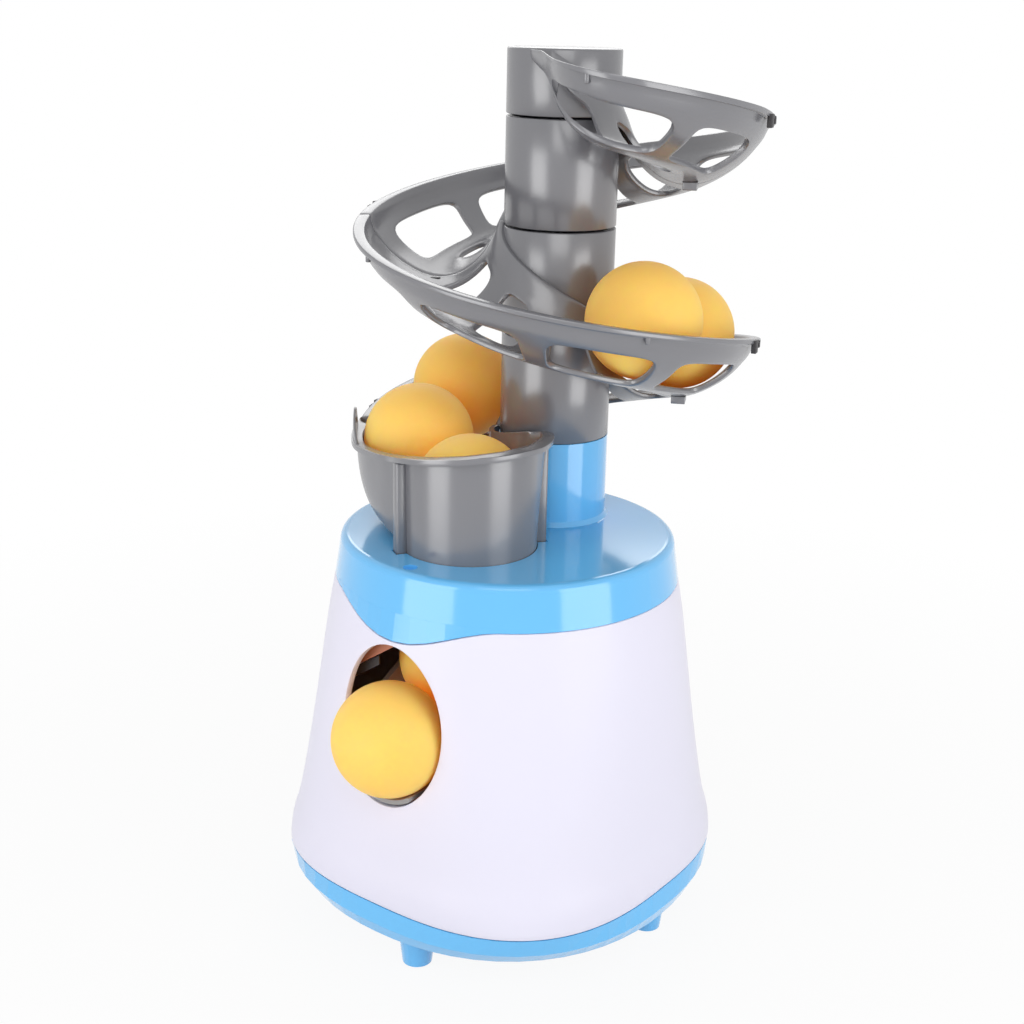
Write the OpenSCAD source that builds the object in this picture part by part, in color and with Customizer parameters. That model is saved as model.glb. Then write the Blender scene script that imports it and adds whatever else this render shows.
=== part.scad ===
// Table tennis robot: spiral ball track, hopper bowl, tapered body and ball launcher.
// Millimetres. Z is up, the table is z = 0, the ball outlet faces -Y.

/* [Ball] */
// Diameter of a table tennis ball
ball_d = 40; // [38:0.1:44]

/* [Body] */
// Height of the white shell's lower edge
shell_bottom = 25.5; // [22:0.5:30]
// Height of the seam between shell and lid
shell_top = 130; // [124:0.5:134]
// Radius of the shell at its lower corners
body_corner_r = 80.2; // [76:0.2:84]
// Radius of the shell at the lid seam
body_top_r = 62; // [60:0.2:65]
// How far the flats are drawn in at the base, as a share of the corner radius
flat_share = 0.91; // [0.86:0.01:1]
// Wall thickness of the moulded shells
wall = 2.2; // [1.6:0.1:3]
// Drop of the lid's visor over the outlet
visor_drop = 8.2; // [0:0.2:12]
// Half angle of the visor
visor_half = 36; // [26:1:46]
// Width of the outlet
outlet_w = 43; // [41.6:0.2:46]
// Height of the outlet
outlet_h = 57.5; // [46:0.5:62]
// Height of the outlet's middle
outlet_z = 91.5; // [88:0.5:95]

/* [Base] */
// Gap between table and base underside
foot_h = 9; // [7:0.5:11]
// Diameter of a foot at the table
foot_d = 10.6; // [8:0.2:13]
// Distance of a foot from the middle
foot_r = 61.6; // [56:0.2:64]
// Turn of the feet from the outlet side
foot_turn = 8.5; // [0:0.5:12]

/* [Lid] */
// Height of the lid's top face
lid_z = 145.6; // [142:0.2:150]
// Thickness of the lid's top
lid_t = 2.4; // [1.8:0.1:3.2]
// Edge rounding of the lid
lid_round = 3; // [1:0.2:5]
// Top of the blue column foot
stub_top = 176.5; // [172:0.5:182]
// Diameter of the dimple ahead of the bowl
dimple_d = 5; // [3:0.2:7]

/* [Column and track] */
// Column diameter
column_d = 39.6; // [38:0.2:42]
// Column position behind the middle
column_y = 27; // [25:0.5:29]
// Wall of the column tubes
tube_wall = 2; // [1.4:0.1:2.6]
// Height of one half-turn module
module_h = 37.7; // [36:0.1:39]
// Height of the top tube
top_tube_h = 22; // [20:0.5:25]
// Outer radius of the track's lip
rim_r = 72.8; // [71:0.2:75]
// Wall of the track
track_wall = 2; // [1.6:0.1:2.6]
// Angle of the track joint from the outlet side
joint_turn = -62; // [-70:1:-54]
// Angle between two neighbouring windows
window_pitch = 41.3; // [40:0.1:42]
// Angle of an outer window
window_w = 33.3; // [28:0.1:35]
// Angle of an inner slot
slot_w = 24; // [16:0.5:30]

/* [Bowl] */
// Hopper position ahead of the middle
hopper_y = 22.6; // [21:0.2:24]
// Outer diameter of the hopper tube
hopper_d = 47.6; // [47:0.1:50]
// Height of the bowl's front rim
bowl_rim_z = 183; // [180:0.2:186]

/* [Launcher] */
// Height of the ball held in the outlet
ball_rest_z = 86.3; // [85:0.1:88]
// Distance of that ball ahead of the middle
ball_rest_y = 65; // [64:0.2:66.5]
// Slope of the feed chute
chute_slope = 27.8; // [24:0.1:30]
// Gear tooth module
tooth_m = 0.6; // [0.55:0.01:0.62]
// Radius of the small gear pins
pin_r = 0.9; // [0.8:0.05:1]
// Radius of the arm and cam pins
big_pin_r = 1.5; // [1.3:0.05:1.8]
// Radial play of a wheel on its pin
play = 0.06; // [0.02:0.01:0.09]

/* [Batteries] */
// Cell diameter
cell_d = 14.2; // [13.8:0.1:14.5]
// Cell length without the terminal
cell_l = 49; // [48.5:0.1:49.5]

/* [Hidden] */
$fn = 60;
ball_r = ball_d / 2;
column_r = column_d / 2;
col = [0, column_y];
hop = [0, -hopper_y];
z4 = stub_top;
z3 = z4 + module_h;
z2 = z3 + module_h;
z1 = z2 + module_h;
pitch_deg = module_h / 180;
seam = 0.15;
pad_h = 1;
switch_z = 45.6;
cell_z = foot_h + 9.6;

silver = [0.56, 0.56, 0.58];
blue = [0.42, 0.76, 0.96];
white = [0.93, 0.92, 0.97];
dark = [0.16, 0.15, 0.16];
steel = [0.72, 0.73, 0.75];
brass = [0.80, 0.66, 0.34];
orange = [1.0, 0.80, 0.38];
grey = [0.60, 0.60, 0.61];

// Point list helper: value at x in rising pairs [x, y]
function look(x, t, i = 0) =
  x <= t[0][0] ? t[0][1] :
  i >= len(t) - 1 ? t[len(t) - 1][1] :
  x <= t[i + 1][0] ?
    t[i][1] + (t[i + 1][1] - t[i][1]) * (x - t[i][0]) / (t[i + 1][0] - t[i][0]) :
    look(x, t, i + 1);

function smooth(t) = let (c = min(1, max(0, t))) c * c * (3 - 2 * c);

// Closed skin over a grid of nu by nv cells in two layers, f(layer, u, v).
// A window is [i0, i1, j0, j1, uc, vc, uh, vh, power]: that block of cells is
// left out and ringed by a rounded opening.
function blk(w) = concat(
  [for (i = [w[0] : w[1] - 1]) [i, w[2]]], [for (j = [w[2] : w[3] - 1]) [w[1], j]],
  [for (i = [w[1] : -1 : w[0] + 1]) [i, w[3]]], [for (j = [w[3] : -1 : w[2] + 1]) [w[0], j]]);
function ring_uv(w) = [for (p = blk(w)) let (
  a = (2 * p[0] - w[0] - w[1]) / (w[1] - w[0]), b = (2 * p[1] - w[2] - w[3]) / (w[3] - w[2]),
  n = pow(pow(abs(a), w[8]) + pow(abs(b), w[8]), 1 / w[8]))
  [w[4] + w[6] * a / n, w[5] + w[7] * b / n]];
function in_window(i, j, ws) =
  len([for (w = ws) if (i >= w[0] && i < w[1] && j >= w[2] && j < w[3]) 1]) > 0;
function total(v, n) = n <= 0 ? 0 : v[n - 1] + total(v, n - 1);

module skin(f, nu, nv, ws = [], loop = false, flip = false) {
  cols = loop ? nu : nu + 1;
  row = nv + 1;
  grid = cols * row;
  counts = [for (w = ws) len(blk(w))];
  layer = grid + total(counts, len(ws));
  pts = [for (l = [0, 1]) each concat(
    [for (i = [0 : cols - 1]) for (j = [0 : nv]) f(l, i, j)],
    [for (w = ws) for (p = ring_uv(w)) f(l, p[0], p[1])])];
  function at(l, i, j) = l * layer + (i % cols) * row + j;
  function rim(l, w, k) = l * layer + grid + total(counts, w) + k % counts[w];
  cells = [for (i = [0 : nu - 1]) for (j = [0 : nv - 1]) if (!in_window(i, j, ws)) each [
    [at(0, i, j), at(0, i + 1, j), at(0, i + 1, j + 1)],
    [at(0, i, j), at(0, i + 1, j + 1), at(0, i, j + 1)],
    [at(1, i, j), at(1, i + 1, j + 1), at(1, i + 1, j)],
    [at(1, i, j), at(1, i, j + 1), at(1, i + 1, j + 1)]]];
  rings = [for (w = [0 : 1 : len(ws) - 1]) let (b = blk(ws[w])) for (k = [0 : counts[w] - 1])
    let (p = b[k], q = b[(k + 1) % counts[w]]) each [
    [at(0, p[0], p[1]), at(0, q[0], q[1]), rim(0, w, k + 1)],
    [at(0, p[0], p[1]), rim(0, w, k + 1), rim(0, w, k)],
    [at(1, p[0], p[1]), rim(1, w, k + 1), at(1, q[0], q[1])],
    [at(1, p[0], p[1]), rim(1, w, k), rim(1, w, k + 1)],
    [rim(0, w, k), rim(0, w, k + 1), rim(1, w, k + 1)],
    [rim(0, w, k), rim(1, w, k + 1), rim(1, w, k)]]];
  sides = [for (i = [0 : nu - 1]) each [
    [at(0, i, 0), at(1, i, 0), at(1, i + 1, 0)], [at(0, i, 0), at(1, i + 1, 0), at(0, i + 1, 0)],
    [at(0, i, nv), at(1, i + 1, nv), at(1, i, nv)],
    [at(0, i, nv), at(0, i + 1, nv), at(1, i + 1, nv)]]];
  ends = loop ? [] : [for (j = [0 : nv - 1]) each [
    [at(0, 0, j), at(1, 0, j + 1), at(1, 0, j)], [at(0, 0, j), at(0, 0, j + 1), at(1, 0, j + 1)],
    [at(0, nu, j), at(1, nu, j), at(1, nu, j + 1)],
    [at(0, nu, j), at(1, nu, j + 1), at(0, nu, j + 1)]]];
  faces = concat(cells, rings, sides, ends);
  polyhedron(pts, flip ? [for (t = faces) [t[0], t[2], t[1]]] : faces, convexity = 10);
}

// Corner radius against height, from the lid seam down to the base edge
corner_t = [[foot_h - 0.5, body_corner_r - 16.2], [foot_h + 1.5, body_corner_r - 11.7],
  [foot_h + 5.5, body_corner_r - 5], [foot_h + 10, body_corner_r - 1.2],
  [shell_bottom, body_corner_r], [33, body_corner_r - 0.8], [41.5, body_corner_r - 3.3],
  [60, body_corner_r - 6.9], [80, body_corner_r - 10.2], [100, body_top_r + 5],
  [120, body_top_r + 1.9], [shell_top, body_top_r]];
function flat_at(z) = z < 25 ? min(1, flat_share + (25 - z) * 0.0055) :
  min(1, flat_share + (1 - flat_share) * (z - 25) / 88);
function plan_r(a, z, inset = 0) = let (k = min(0.99999, flat_at(z)),
  n = 1 / (0.5 + ln(k) / ln(2)), w = look(z, corner_t) * k)
  w / pow(pow(abs(cos(a)), n) + pow(abs(sin(a)), n), 1 / n) - inset;
function plan_p(a, z, inset = 0) = let (r = plan_r(a, z, inset)) [r * cos(a), r * sin(a), z];

// Seam height round the shell: lower under the visor at the outlet (-90 degrees)
function from_front(a) = abs(((a + 90 + 540) % 360) - 180);
function seam_z(a) = shell_top
  - visor_drop * (0.5 + 0.5 * cos(min(1, from_front(a) / visor_half) * 180));

// Under side and ball side of the channel, radius and height from the rim
under_t = [[rim_r, -1.8], [70.8, -1.9], [69.0, -6.2], [66.9, -9.2], [63.6, -13.2], [59.2, -17.0],
  [53.4, -20.5], [48.4, -22.4], [43.2, -23.0], [38.4, -22.3], [33.8, -20.4], [29.4, -17.2],
  [25.9, -13.4], [23.5, -9.6], [21.6, -5.0], [19.2, -0.2]];
over_t = [[rim_r, 0], [68.8, 0], [67.1, -5.5], [65.2, -8.1], [62.2, -11.8], [58.1, -15.3],
  [52.7, -18.6], [48.0, -20.4], [43.3, -21.0], [39.1, -20.4], [34.9, -18.7], [30.9, -15.8],
  [27.6, -12.3], [25.3, -8.7], [23.5, -4.4], [21.4, 0]];
row_n = len(under_t) - 1;
function mix(t, v) = let (i = min(row_n - 1, floor(v)), f = v - i) t[i] + (t[i + 1] - t[i]) * f;
function track_uv(u) = u < 1 ? 7.4 * u : u < 33 ? 7.4 + (u - 1) * window_pitch / 8 :
  172.6 + (u - 33) * 7.28;
// Point on the half-turn channel; it starts high at joint_turn and ends one module lower
function track_f(l, u, v) = let (turn = track_uv(u), q = mix(l == 0 ? under_t : over_t, v),
  a = joint_turn + turn - 90)
  [q[0] * cos(a), q[0] * sin(a), q[1] + module_h + 0.6 - turn * pitch_deg];
// Start piece: the same channel, swept out from the tube over its first degrees
start_turn = 3;
start_uv_t = [[0, start_turn], [5, 26], [13, 71], [21, 110.6], [22, 118]];
function start_uv(u) = look(u, start_uv_t);
start_reach = [[3, 0.08], [15, 0.18], [25, 0.33], [34, 0.69], [40, 0.86], [48, 0.97], [56, 1]];
function start_f(l, u, v) = let (az = start_uv(u), q = mix(l == 0 ? under_t : over_t, v),
  g = look(az, start_reach), a = az - 90,
  top = min(top_tube_h - 0.4, 0.6 + (118 - az) * pitch_deg + 0.8 * smooth((115 - az) / 20)),
  r = column_r - 0.6 + (q[0] - column_r + 0.6) * g)
  [r * cos(a), r * sin(a), max(q[1], q[1] * (0.1 + 0.9 * g)) + top];

// Windows of one pitch, first cell i0: an outer window and an inner slot
function bay(i0) = let (c = window_pitch / 8) [
  [i0, i0 + 8, 2, 7, i0 + 4, 4.8, window_w / 2 / c, 1.7, 5],
  [i0, i0 + 8, 7, 14, i0 + (4 + slot_w / 2) / c, 10.3, slot_w / 2 / c, 2.3, 4]];

module tube(h, spigot = true) {
  difference() {
    union() {
      cylinder(r = column_r, h = h - seam, $fn = 90);
      if (spigot) translate([0, 0, -5]) cylinder(r = column_r - tube_wall - 0.1, h = 8, $fn = 90);
    }
    translate([0, 0, 3]) cylinder(r = column_r - tube_wall, h = h, $fn = 90);
    translate([0, 0, -6]) cylinder(r = column_r - tube_wall - 2, h = 12, $fn = 90);
  }
}

module half_turn() {
  tube(module_h);
  difference() {
    skin(function (l, u, v) track_f(l, u, v), 34, row_n, [each bay(1), each bay(9), each bay(17),
      each bay(25)]);
    translate([0, 0, -30]) cylinder(r = column_r + 0.25, h = 30, $fn = 90);
  }
  for (p = [33, 121]) rotate(joint_turn + p - 90)
    translate([71.4, 0, module_h - p * pitch_deg - 3.4]) cylinder(r = 0.9, h = 3.2);
}

module track_start() color(silver) translate([0, column_y, z1]) {
  tube(top_tube_h + seam);
  translate([0, 0, top_tube_h - 2]) cylinder(r = column_r - 1, h = 2, $fn = 90);
  difference() {
    skin(function (l, u, v) start_f(l, u, v), 22, row_n, [
      [5, 13, 2, 7, 9, 4.75, 3.45, 1.8, 4], bay(5)[1], each bay(13)]);
    translate([0, 0, -30]) cylinder(r = column_r + 0.25, h = 30, $fn = 90);
  }
  rotate(41 - 90) translate([64.4, 0, 77 * pitch_deg - 3]) cylinder(r = 0.9, h = 3.2);
}
module track_upper() color(silver) translate([0, column_y, z2]) rotate(180) half_turn();
module track_front() color(silver) translate([0, column_y, z3]) half_turn();
module track_lower() color(silver) translate([0, column_y, z4]) rotate(180) half_turn();

module clip_pair(w = 6.4) {
  translate([0, w - 3.2, 0]) rotate([90, 0, 0]) linear_extrude(w)
    polygon([[71.2, -2.6], [69.5, -6.7], [70.9, -7.1], [72.7, -4.3], [72.9, -2.6]]);
  translate([43.6, -3.2, -26]) cube([5.2, w, 2]);
}
module track_clips() color(dark) translate([0, column_y, 0]) {
  for (z = [z1, z3]) rotate(joint_turn + 90) translate([0, 0, z + 0.6]) clip_pair();
  rotate(joint_turn - 90) translate([0, 0, z2 + 0.6]) clip_pair();
  rotate(joint_turn - 90) translate([0, 0, z4 + 0.6]) clip_pair(2.8);
}

row_z = [shell_bottom, 33, 41.5, 58, 68.5, 79, 89.5, 100, 110.5, 121];
function shell_f(l, u, v) = let (a = u * 6, i = floor(min(v, 8.9999)),
  z = v > 9 ? 121 + (v - 9) * (seam_z(a) - 121) : row_z[i] + (row_z[i + 1] - row_z[i]) * (v - i))
  plan_p(a, z, l * wall);
module body_shell() color(white) {
  skin(function (l, u, v) shell_f(l, u, v), 60, 10, [
    [41, 49, 3, 9, 45, 3 + (outlet_z - 58) / 10.5, asin(outlet_w / 2 / 66.6) / 6,
      outlet_h / 21, 2],
    [13, 17, 1, 3, 15, 2.25, 0.75, 0.16, 6]], loop = true, flip = true);
  for (a = [45 : 90 : 315]) rotate(a) intersection() {
    difference() {
      union() {
        translate([63, 0, shell_bottom]) cylinder(r = 3.6, h = 26);
        translate([63, -1, shell_bottom]) cube([14, 2, 22]);
      }
      translate([63, 0, shell_bottom - 1]) cylinder(r = 1.3, h = 20);
    }
    cylinder(r = look(40, corner_t) - wall + 0.5, h = 60, $fn = 120);
  }
}

tray_z = [foot_h, foot_h + 1.5, foot_h + 5.5, foot_h + 10, shell_bottom];
tray_in = [foot_h + 2.4, foot_h + 3.6, foot_h + 6.8, foot_h + 10.8, shell_bottom];
function tray_f(l, u, v) = let (s = v < 1 ? 0.75 : 1,
  q = plan_p(u * 6, v < 1 ? foot_h : tray_z[v - 1], l * wall))
  [q[0] * s, q[1] * s, l == 0 ? tray_z[max(0, v - 1)] : tray_in[max(0, v - 1)]];
module base_tray() color(blue) difference() {
  union() {
    skin(function (l, u, v) tray_f(l, u, v), 60, 5, [], loop = true, flip = true);
    translate([0, 0, foot_h]) linear_extrude(2.4) circle(r = 52, $fn = 90);
      for (a = [0 : 90 : 270]) rotate(foot_turn - 90 + a) translate([foot_r, 0, pad_h])
        cylinder(r1 = foot_d / 2, r2 = foot_d / 2 + 1.3, h = foot_h + 3.4 - pad_h);
      for (a = [45 : 90 : 315]) rotate(a) translate([63, 0, foot_h + 1])
        cylinder(r = 3.6, h = shell_bottom - foot_h - 1);
      translate([-7, 58, foot_h + 2]) cube([14, 8, switch_z - 5.5 - foot_h - 2]);
  }
    translate([-30.5, -19.3, 0]) cube([61, 56.4, 40]);
    translate([-6, -27.3, 0]) cube([12, 12, 40]);
    axle(hinge_c, 0.86, -32, 32);
    for (a = [45 : 90 : 315]) rotate(a) translate([63, 0, 0]) {
      cylinder(r = 1.5, h = 40);
      cylinder(r = 2.9, h = foot_h + 5);
    }
}
module feet() color(dark) for (a = [0 : 90 : 270]) rotate(foot_turn - 90 + a)
  translate([foot_r, 0, 0]) cylinder(r = foot_d / 2 - 2.4, h = pad_h);
module base_screws() color(steel) for (a = [45 : 90 : 315]) rotate(a) translate([63, 0, 0]) {
  translate([0, 0, foot_h + 3]) cylinder(r = 2.6, h = 2);
  translate([0, 0, foot_h + 4]) cylinder(r = 1.3, h = 22);
}
hinge_c = [35.4, foot_h + 1.2];
module battery_door() color(blue) difference() {
  union() {
    translate([-30.2, -19, foot_h]) cube([60.4, 54.4, 2]);
    translate([-5.7, -27, foot_h]) cube([11.4, 9, 2.3]);
    axle(hinge_c, 1.2, -30.2, 30.2);
    axle(hinge_c, 0.8, -31.8, 31.8);
  }
  translate([0, -22.6, foot_h - 1]) cylinder(r = 1.4, h = 6);
  translate([0, -22.6, foot_h - 1]) cylinder(r = 2.4, h = 2.1);
  for (y = [-6 : 6 : 24]) translate([-20, y, foot_h - 1]) cube([40, 1.6, 1.6]);
}
module door_screw() color(steel) translate([0, -22.6, foot_h + 0.1]) {
  cylinder(r = 2.2, h = 1);
  cylinder(r = 1.15, h = 4.5);
}
module battery_box() color(dark) difference() {
  union() {
    translate([-32.3, -20.9, foot_h + 2.4]) cube([64.6, 57.4, 16.8]);
    translate([0, -22.6, foot_h + 2.4]) cylinder(r = 3.4, h = 10);
  }
  translate([-30.3, -19, foot_h - 1]) cube([60.6, 53.7, 17.8]);
  translate([0, -22.6, foot_h]) cylinder(r = 1.6, h = 9.6);
}
cell_x = [-22.2, -7.4, 7.4, 22.2];
module cells() color(orange) for (i = [0 : 3])
  translate([cell_x[i], i % 2 == 0 ? -16 : -17.3, cell_z])
    rotate([-90, 0, 0]) cylinder(r = cell_d / 2, h = cell_l);
module cell_ends() color(steel) for (i = [0 : 3]) translate([cell_x[i], 0, cell_z])
  if (i % 2 == 0) translate([0, cell_l - 16, 0]) rotate([-90, 0, 0]) cylinder(r = 2.7, h = 1.3);
  else translate([0, -17.3, 0]) rotate([90, 0, 0]) cylinder(r = 2.7, h = 1.3);
module contacts() color(steel) for (i = [0 : 3]) translate([cell_x[i], 0, cell_z]) {
  translate([-6, -19, -6]) cube([12, 0.4, 12]);
  translate([-6, 34.3, -6]) cube([12, 0.4, 12]);
  translate([0, i % 2 == 0 ? -16 : 34.3, 0]) rotate([90, 0, 0]) for (k = [0 : 2])
    translate([0, 0, 0.52 + 0.78 * k]) rotate_extrude() translate([4.6 - 0.5 * k, 0])
      circle(r = 0.5, $fn = 16);
}

lid_side_r = body_top_r - (lid_z - shell_top) * 0.12;
module visor() skin(function (l, u, v) let (a = -90 - visor_half + u * visor_half / 6,
  z = v == 0 ? seam_z(a) + seam : shell_top + 1.6) plan_p(a, z, l * wall + v * 0.15), 12, 1,
  flip = true);
module lid() color(blue) difference() {
  union() {
    rotate_extrude($fn = 120) polygon(concat(
      [[0, lid_z], [lid_side_r - lid_round, lid_z]],
      [for (a = [75 : -15 : 15]) [lid_side_r - lid_round + lid_round * cos(a),
        lid_z - lid_round + lid_round * sin(a)]],
      [[lid_side_r, lid_z - lid_round], [body_top_r, shell_top], [body_top_r - wall, shell_top],
        [lid_side_r - wall, lid_z - lid_t - 2], [lid_side_r - wall - 2, lid_z - lid_t],
        [0, lid_z - lid_t]]));
    visor();
    difference() {
      translate([0, 0, shell_top - 5]) cylinder(r = body_top_r - wall - 0.25, h = 8, $fn = 120);
      translate([0, 0, shell_top - 6])
        cylinder(r = body_top_r - wall - 1.6, h = 10, $fn = 120);
    }
    translate([0, column_y, lid_z - 1]) cylinder(r = column_r, h = stub_top - lid_z + 1 - seam, $fn = 90);
    translate([0, column_y, lid_z - 0.5])
      cylinder(r1 = column_r + 1.6, r2 = column_r - 0.2, h = 2.4, $fn = 90);
  }
  translate([0, column_y, lid_z - lid_t - 1])
    cylinder(r = column_r - tube_wall, h = 60, $fn = 90);
  translate([0, -hopper_y, lid_z - 10]) cylinder(r = hopper_d / 2 + 0.3, h = 20, $fn = 90);
  for (a = post_turns) translate([0, -hopper_y, lid_z - 0.8]) rotate(a)
    translate([hopper_d / 2 - 1, -2.7, 0]) cube([5, 5.4, 2]);
  translate([0, -54.2, lid_z - 1.6]) cylinder(r = dimple_d / 2, h = 4);
}

// Posts that stand the bowl on the lid, by angle round the hopper
post_turns = [-120.5, 49.5];
bowl_floor = 149.6;
open_n = len(under_t) - 1;
left_n = 9;
lip_n = 26;
hug_n = 10;
bowl_n = open_n + left_n + lip_n + hug_n;
// Heights of the lip: round the column from the joint, then round the hopper
left_lip = [[-62, bowl_rim_z - 5.9], [-50, bowl_rim_z - 7.8], [-40, bowl_rim_z - 8.4],
  [-32, bowl_rim_z - 7.6], [-23, bowl_rim_z - 6.3], [-16, bowl_rim_z - 5]];
lip_high = [[231, bowl_rim_z - 4.3], [255, bowl_rim_z - 2], [288, bowl_rim_z + 0.2],
  [320, bowl_rim_z + 1.6], [350, bowl_rim_z + 2.1], [383, bowl_rim_z + 1.3],
  [411, bowl_rim_z + 0.5], [431, bowl_rim_z - 1]];
lip_out = [[383, 4], [397, 4.5], [411, 6], [421, 7.5], [431, 8.2]];
lip_in = [[383, -1.4], [402, 0.4], [416, 2.7], [430, 5.6]];
function about(c, r, a, z) = [c[0] + r * cos(a), c[1] + r * sin(a), z];
// Edge of the bowl and the top of its wall, one point per column of the skin: the open end
// where the track joins, the wide arc at the left, the lip round the hopper, the column side
function open_end(l, u) = let (t = l == 0 ? under_t : over_t, q = t[open_n - u])
  about(col, max(q[0], column_r + (l == 0 ? 0.4 : 2.2)), joint_turn - 90 + 0.12, z4 + 0.6 + q[1]);
function left_arc(l, t, wall_top) = let (az = joint_turn + 46 * t,
  r = rim_r + 1.4 * sin(180 * min(1, t / 0.75)) - (wall_top ? 4 - 1.9 * (1 - l) : 0))
  about(col, r, az - 90, look(az, left_lip) - (1 - l) * (wall_top ? 1.9 : 1.8));
function lip_arc(l, t, wall_top) = let (a = 231 + 200 * t, e = look(a, lip_out),
  g = look(a, lip_in), r = hopper_d / 2 + (wall_top ? (l == 0 ? min(g + 1.9, e - 0.5) : g) : e))
  about(hop, r, a, look(a, lip_high) - (1 - l) * (wall_top ? 1.9 : 1.8));
function hug_arc(l, t, wall_top) = let (az = 19 - 81 * t,
  r = column_r + 2.4 + 1.7 * smooth((-az - 22) / 22) * (1 - smooth((-az - 52) / 9))
    - 0.8 * smooth((-az - 50) / 12))
  about(col, max(column_r + 0.4, r - (1 - l) * 1.8), az - 90,
    z4 + 0.6 + 4.4 * smooth((az + 46) / 70) - (wall_top ? 1.3 : 0));
function bowl_edge(l, u, wall_top) = u <= open_n ? open_end(l, u) :
  u <= open_n + left_n ? left_arc(l, (u - open_n) / left_n, wall_top) :
  u <= open_n + left_n + lip_n ? lip_arc(l, (u - open_n - left_n) / lip_n, wall_top) :
  hug_arc(l, (u - open_n - left_n - lip_n) / hug_n, wall_top);
// Angle on the hopper tube that each of those columns starts from
bowl_turn_t = [[0, 114.6], [open_n, 166.6], [open_n + left_n, 231],
  [open_n + left_n + lip_n, 431], [bowl_n, 474.6]];
function bowl_f(l, u, v) = let (w = u % bowl_n, open = w <= open_n,
  e = bowl_edge(l, w, true), h = about(hop, hopper_d / 2 - l * 2, look(w, bowl_turn_t), 0),
  zf = bowl_floor - (1 - l) * track_wall, reach = norm([e[0] - hop[0], e[1] - hop[1]]),
  k = 1 - smooth((reach - 25) / 9), t = max(0, v - 1) / 7 * (open ? 0.96 : 1),
  x = k * t + (1 - k) * pow(sin(90 * t), open ? 1 : 0.72),
  z = k * t + (1 - k) * (open ? 0.85 * pow(1 - cos(90 * t), 1.25) + 0.15 * sin(90 * t) :
    pow(1 - cos(90 * t), 1.25)))
  v < 1 ? [h[0], h[1], hopper_base] : v > 8 ? bowl_edge(l, w, false) :
    [h[0] + (e[0] - h[0]) * x, h[1] + (e[1] - h[1]) * x, zf + (e[2] - zf) * z];
hopper_base = 137;
module bowl() color(silver) {
  difference() {
    skin(function (l, u, v) bowl_f(l, u, v), bowl_n, 9, [], loop = true, flip = true);
    translate([-3, -3, hopper_base - 1]) cube([6, 6, lid_z - hopper_base]);
  }
  for (a = post_turns) translate([0, -hopper_y, lid_z - 0.7]) rotate(a)
    translate([hopper_d / 2 - 0.6, -2.3, 0])
      cube([4.2, 4.6, look((a + 360 - 231) % 360 + 231, lip_high) - lid_z - 0.9]);
  translate([0, column_y, 0]) intersection() {
    rotate(-54 - 90) translate([rim_r - 12.8, 0, 0]) rotate([90, 0, 90]) linear_extrude(20)
      polygon([for (q = [[-3, -8.5], [22, -9], [14, -5.2], [7, -1.4], [2, 1.2], [-2, -3]])
        [q[0], bowl_rim_z + q[1]]]);
    translate([0, 0, bowl_rim_z - 20]) difference() {
      cylinder(r = rim_r + 0.9, h = 40, $fn = 180);
      translate([0, 0, -1]) cylinder(r = rim_r - 0.6, h = 42, $fn = 180);
    }
  }
}

// Ball places: centre of each ball
slope = [0, cos(chute_slope), sin(chute_slope)];
rest = [0, -ball_rest_y, ball_rest_z];
function track_place(az, r, z) = [r * sin(az), column_y - r * cos(az), z];
lane_low = min([for (q = over_t) q[1]]);
lane_r = rim_r - 28.6;
// Height of a ball's centre in the lane, by its angle down from the joint of the front module
function lane_z(turn) = z3 + module_h - turn * pitch_deg + lane_low + ball_r + 2.6;
module ball(c) color(orange) translate(c) sphere(r = ball_r, $fn = 96);
module ball_outlet() ball(rest);
module ball_queued() ball(rest + slope * (ball_d + 0.4));
module ball_track_a() ball(track_place(76.4, lane_r, lane_z(76.4 - joint_turn)));
module ball_track_b() ball(track_place(128.6, lane_r, lane_z(128.6 - joint_turn)));
module ball_bowl_front() ball([0.2, 0.3 - hopper_y, bowl_floor + ball_r - 4.9]);
module ball_bowl_side() ball(track_place(-46.8, rim_r - 23.3, bowl_floor + ball_r + 4.5));
module ball_bowl_back() ball(track_place(-96, rim_r - 27.1, lane_z(264 - joint_turn) + 0.15));

// Feed: chute, its guide under the hopper
module along() translate(rest) rotate([chute_slope, 0, 0]) rotate([-90, 0, 0]) children();
module level() translate([0, 0, ball_rest_z]) rotate([90, 0, 0]) children();
chute_r = ball_r + 0.6;
module chute_bed(r) {
  along() translate([0, 0, -5]) cylinder(r = r, h = 73, $fn = 90);
  level() translate([0, 0, ball_rest_y - 13]) cylinder(r = r, h = 24, $fn = 90);
}
module chute() color(grey) difference() {
  union() {
    intersection() {
      difference() {
        chute_bed(chute_r + 2);
        translate(rest) rotate([chute_slope, 0, 0]) {
          translate([-40, -40, -3]) cube([80, 140, 60]);
          translate([-40, 58, -60]) cube([80, 60, 100]);
        }
        translate([-40, -90, ball_rest_z - 8]) cube([80, 38, 60]);
      }
      cylinder(r = 62, h = 200, $fn = 90);
    }
    intersection() {
      level() translate([0, 0, 60]) cylinder(r = ball_r + 2, h = 9.5, $fn = 90);
      translate([-12.4, -90, 50]) cube([24.8, 60, 19.6]);
    }
  }
  intersection() {
    chute_bed(chute_r);
    translate([-40, -62.5, 0]) cube([80, 120, 200]);
  }
  level() translate([0, 0, 50]) cylinder(r = ball_r + 0.35, h = 30, $fn = 90);
  translate([-4.5, -59, 50]) cube([9, 20, 50]);
}
gate_c = [5.5, 136];
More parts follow.
